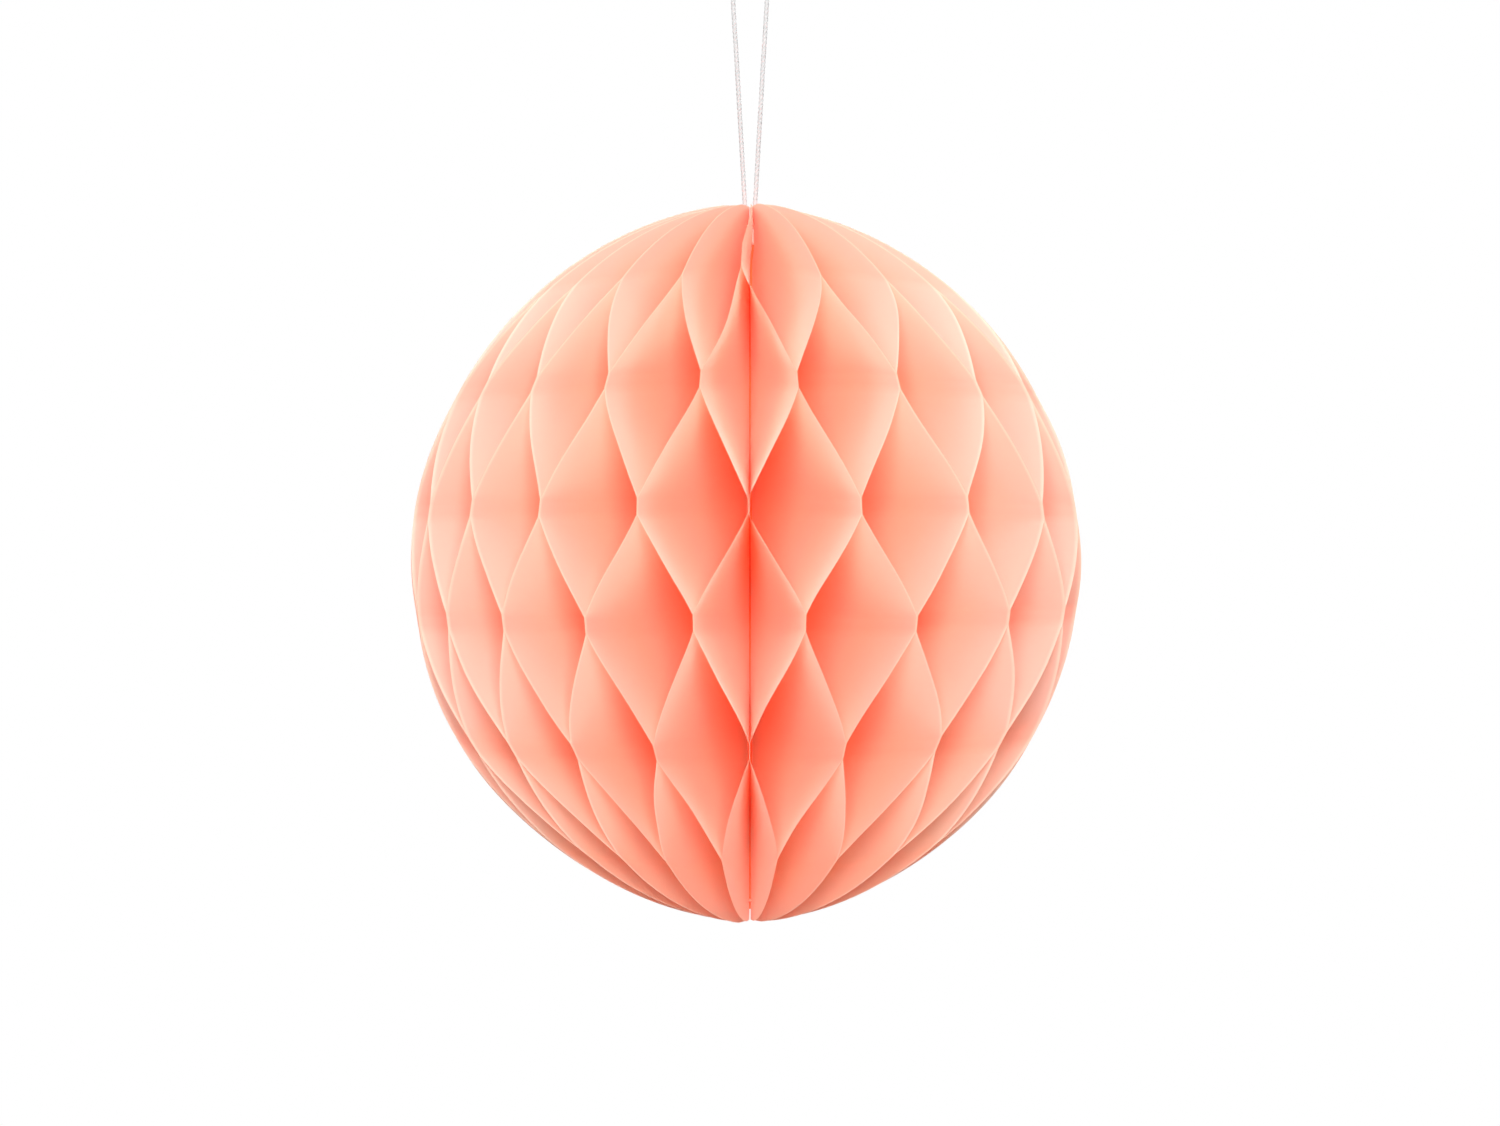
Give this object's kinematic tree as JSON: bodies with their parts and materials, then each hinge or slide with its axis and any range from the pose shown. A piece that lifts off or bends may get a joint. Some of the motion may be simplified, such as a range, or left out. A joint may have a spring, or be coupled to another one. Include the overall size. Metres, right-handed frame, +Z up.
{
  "type": "honeycomb paper ball decoration",
  "caption": "Hanging honeycomb ball of peach tissue paper: leaves glued in staggered rows open into diamond cells round an upright axis, under a looped string",
  "frame": {"origin": "where the string loop rests on its hook, straight above the ball on its axis", "axes": "+Z up along the axis of the ball; the front faces -Y, and the seam of the covers is at the back"},
  "size_m": [0.1859, 0.1858, 0.268],
  "materials": {
    "tissue": "thin uncoated tissue that lets some light through",
    "card": "matt coloured card",
    "adhesive": "double-sided strip",
    "thread": "twisted thread in the colour of the tissue",
    "string": "twisted white string"
  },
  "bodies": {
    "root": {"leaf_01": "tissue", "leaf_02": "tissue", "leaf_03": "tissue", "leaf_04": "tissue", "leaf_05": "tissue", "leaf_06": "tissue", "leaf_07": "tissue", "leaf_08": "tissue", "leaf_09": "tissue", "leaf_10": "tissue", "leaf_11": "tissue", "leaf_12": "tissue", "leaf_13": "tissue", "leaf_14": "tissue", "leaf_15": "tissue", "leaf_16": "tissue", "leaf_17": "tissue", "leaf_18": "tissue", "leaf_19": "tissue", "leaf_20": "tissue", "leaf_21": "tissue", "leaf_22": "tissue", "leaf_23": "tissue", "leaf_24": "tissue", "leaf_25": "tissue", "leaf_26": "tissue", "leaf_27": "tissue", "leaf_28": "tissue", "leaf_29": "tissue", "leaf_30": "tissue", "leaf_31": "tissue", "leaf_32": "tissue", "leaf_33": "tissue", "leaf_34": "tissue", "leaf_35": "tissue", "leaf_36": "tissue", "leaf_37": "tissue", "leaf_38": "tissue", "leaf_39": "tissue", "leaf_40": "tissue", "cover_card_left": "card", "cover_card_right": "card", "adhesive_strip_upper": "adhesive", "adhesive_strip_lower": "adhesive", "binding_thread_top": "thread", "binding_thread_bottom": "thread", "cord_knot": "string", "hanging_cord": "string"}
  },
  "joints": []
}
